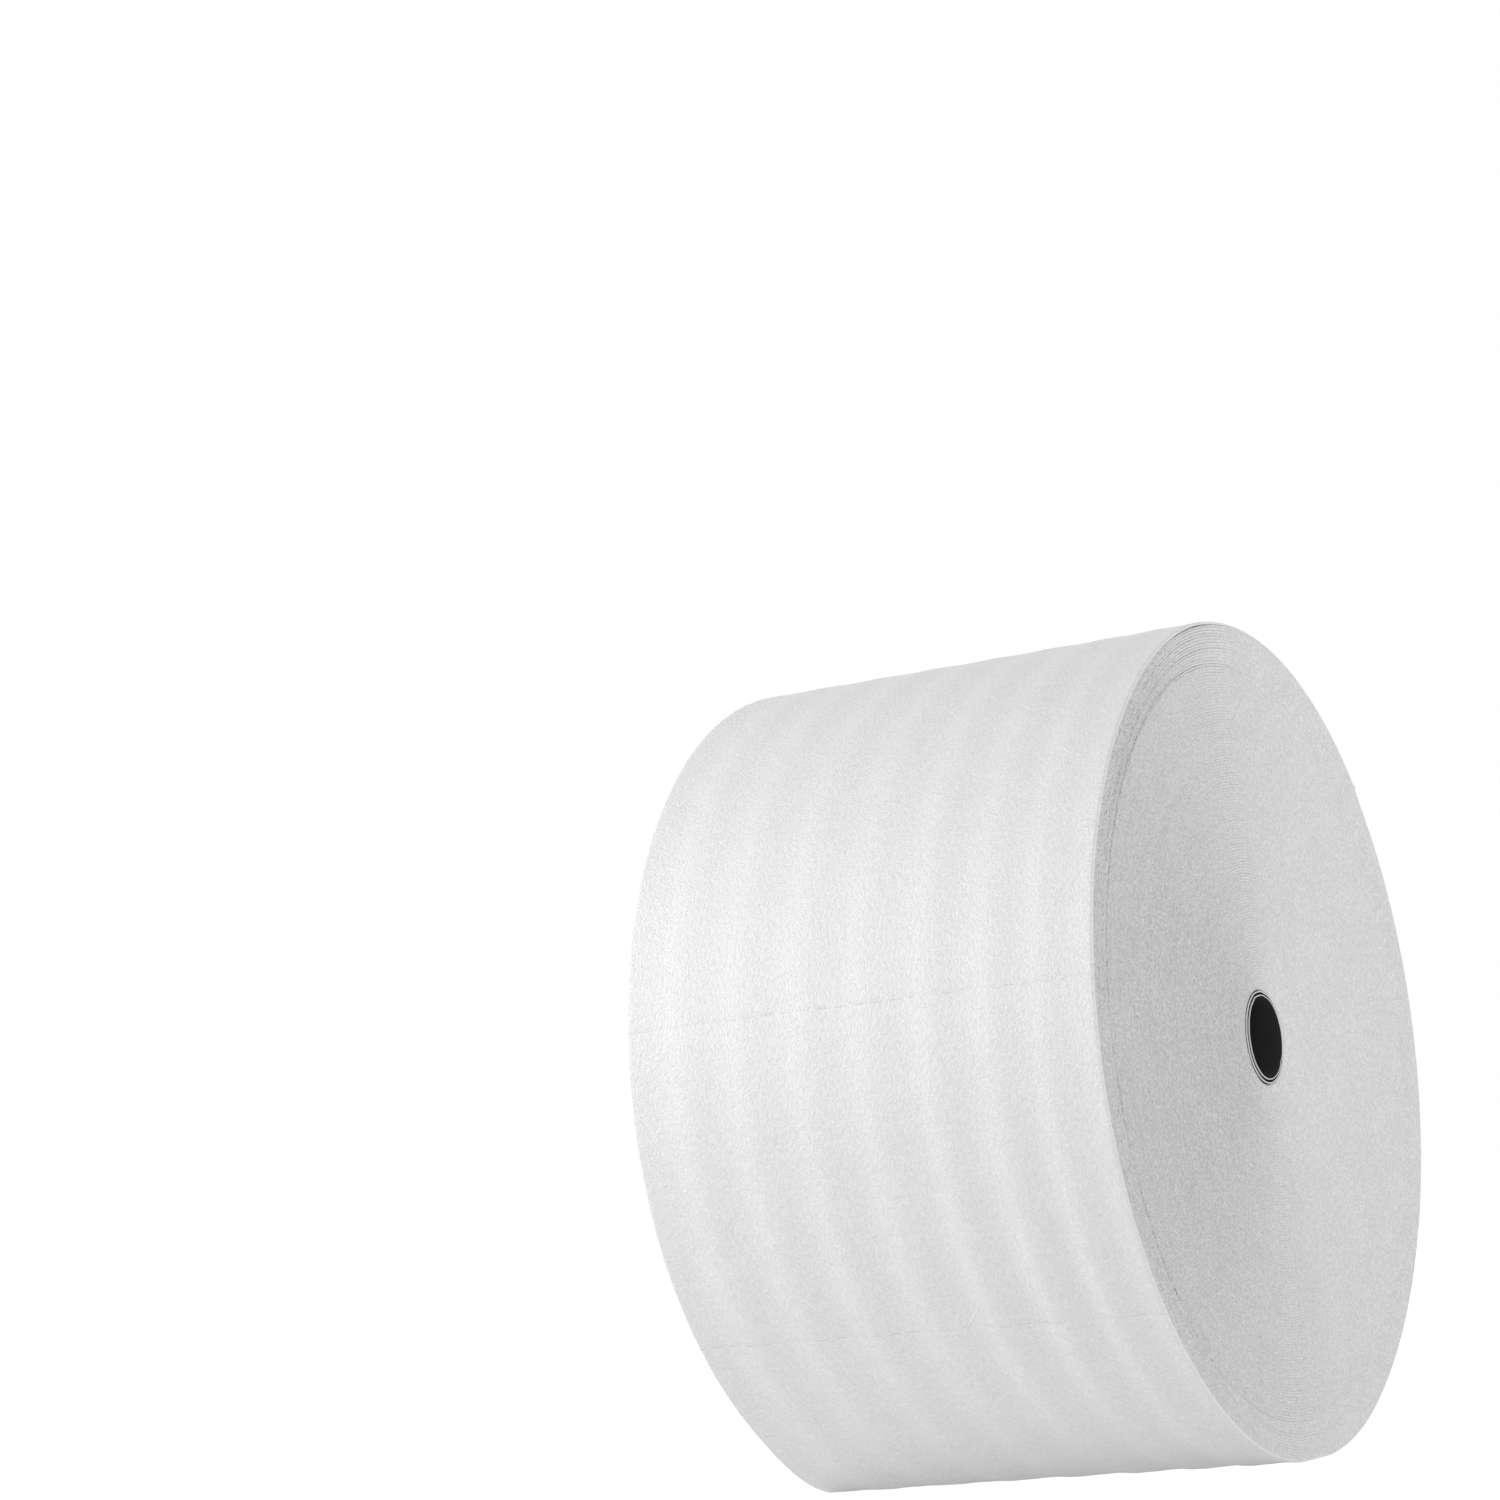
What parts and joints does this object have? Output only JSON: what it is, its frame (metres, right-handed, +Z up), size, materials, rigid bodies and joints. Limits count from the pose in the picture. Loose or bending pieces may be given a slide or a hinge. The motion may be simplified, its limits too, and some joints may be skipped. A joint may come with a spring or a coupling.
{
  "type": "foam wrap roll",
  "caption": "Wide roll of white cushioning foam sheet wound on a paperboard core, lying on its side.",
  "frame": {"origin": "on the floor under the middle of the roll, at the centre of the flat spot that it rests on", "axes": "+X along the roll's axis towards the end that the picture shows, +Y across the roll away from the picture's viewpoint, +Z up"},
  "size_m": [0.4572, 0.7695, 0.7686],
  "materials": {
    "foam": "closed-cell polyethylene foam, soft satin",
    "paperboard": "spiral-wound grey-brown paperboard, matt"
  },
  "bodies": {
    "root": {"foam_roll": "foam", "core_tube": "paperboard"}
  },
  "joints": []
}
